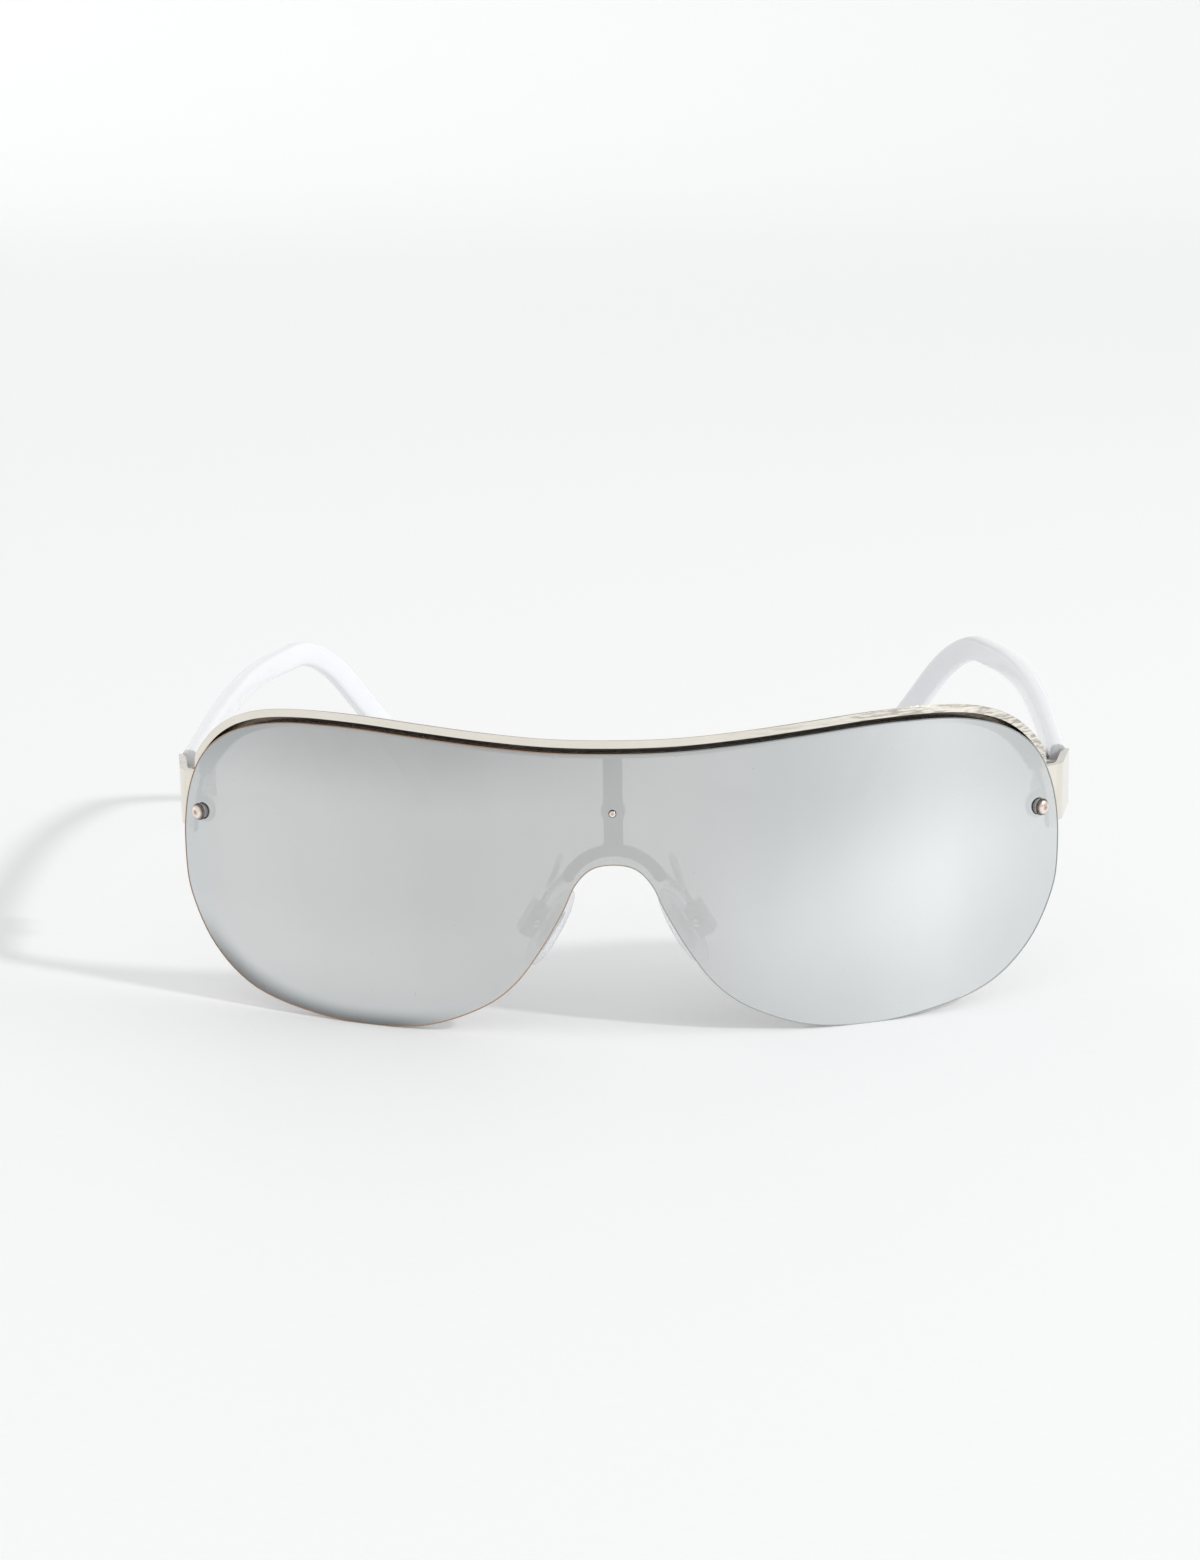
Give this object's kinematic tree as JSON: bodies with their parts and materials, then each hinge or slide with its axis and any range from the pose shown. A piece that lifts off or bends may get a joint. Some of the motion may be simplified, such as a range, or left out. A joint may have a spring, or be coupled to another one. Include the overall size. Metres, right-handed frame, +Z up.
{
  "type": "shield sunglasses",
  "caption": "Shield sunglasses: a one-piece mirrored lens on a gold metal brow bar and bridge, with nose pads on wire arms and white temples that fold.",
  "frame": {"origin": "middle of the footprint on the surface that the lens lobes and the temple tips stand on, with the temples open", "axes": "+X towards the wearer's left, -Y the way the wearer looks, +Z up"},
  "size_m": [0.151, 0.1665, 0.0503],
  "materials": {
    "lens": "polycarbonate with a silver half-mirror coating",
    "gold_metal": "polished pale champagne gold plating",
    "dome_metal": "polished, slightly redder gold",
    "hinge_metal": "satin nickel silver",
    "nylon": "translucent natural nylon",
    "white_plastic": "glossy white acetate",
    "pad_plastic": "clear polycarbonate core",
    "pad_silicone": "clear silicone with a blue tint"
  },
  "bodies": {
    "front": {"shield_lens": "lens", "brow_bar": "gold_metal", "bridge": "gold_metal", "endpiece_left": "gold_metal", "endpiece_right": "gold_metal", "lens_screw_left": "dome_metal", "lens_screw_right": "dome_metal", "lens_bushing_left": "nylon", "lens_bushing_right": "nylon", "centre_screw": "dome_metal", "front_hinge_left": "hinge_metal", "front_hinge_right": "hinge_metal", "hinge_screw_left": "dome_metal", "hinge_screw_right": "dome_metal", "pad_arm_left": "gold_metal", "pad_arm_right": "gold_metal", "pad_box_left": "hinge_metal", "pad_box_right": "hinge_metal", "pad_screw_left": "dome_metal", "pad_screw_right": "dome_metal"},
    "temple_arm_left": {"temple_hinge_left": "hinge_metal", "temple_rivets_left": "dome_metal", "temple_left": "white_plastic"},
    "pad_left": {"pad_core_left": "pad_plastic", "nose_pad_left": "pad_silicone"},
    "temple_arm_right": {"temple_hinge_right": "hinge_metal", "temple_rivets_right": "dome_metal", "temple_right": "white_plastic"},
    "pad_right": {"pad_core_right": "pad_plastic", "nose_pad_right": "pad_silicone"}
  },
  "joints": [
    {"name": "temple_fold_left", "type": "hinge", "parent": "front", "child": "temple_arm_left", "pos_m": [0.06957, -0.0415, 0.03278], "axis": [0, 0, 1], "range_deg": [0, 88]},
    {"name": "temple_fold_right", "type": "hinge", "parent": "front", "child": "temple_arm_right", "pos_m": [-0.06957, -0.0415, 0.03278], "axis": [0, 0, -1], "range_deg": [0, 78]},
    {"name": "pad_rock_left", "type": "hinge", "parent": "front", "child": "pad_left", "pos_m": [0.013, -0.07179, 0.0162], "axis": [0.1782, 0.9781, 0.1071], "range_deg": [-8, 8]},
    {"name": "pad_rock_right", "type": "hinge", "parent": "front", "child": "pad_right", "pos_m": [-0.013, -0.07179, 0.0162], "axis": [-0.1782, 0.9781, 0.1071], "range_deg": [-8, 8]}
  ]
}
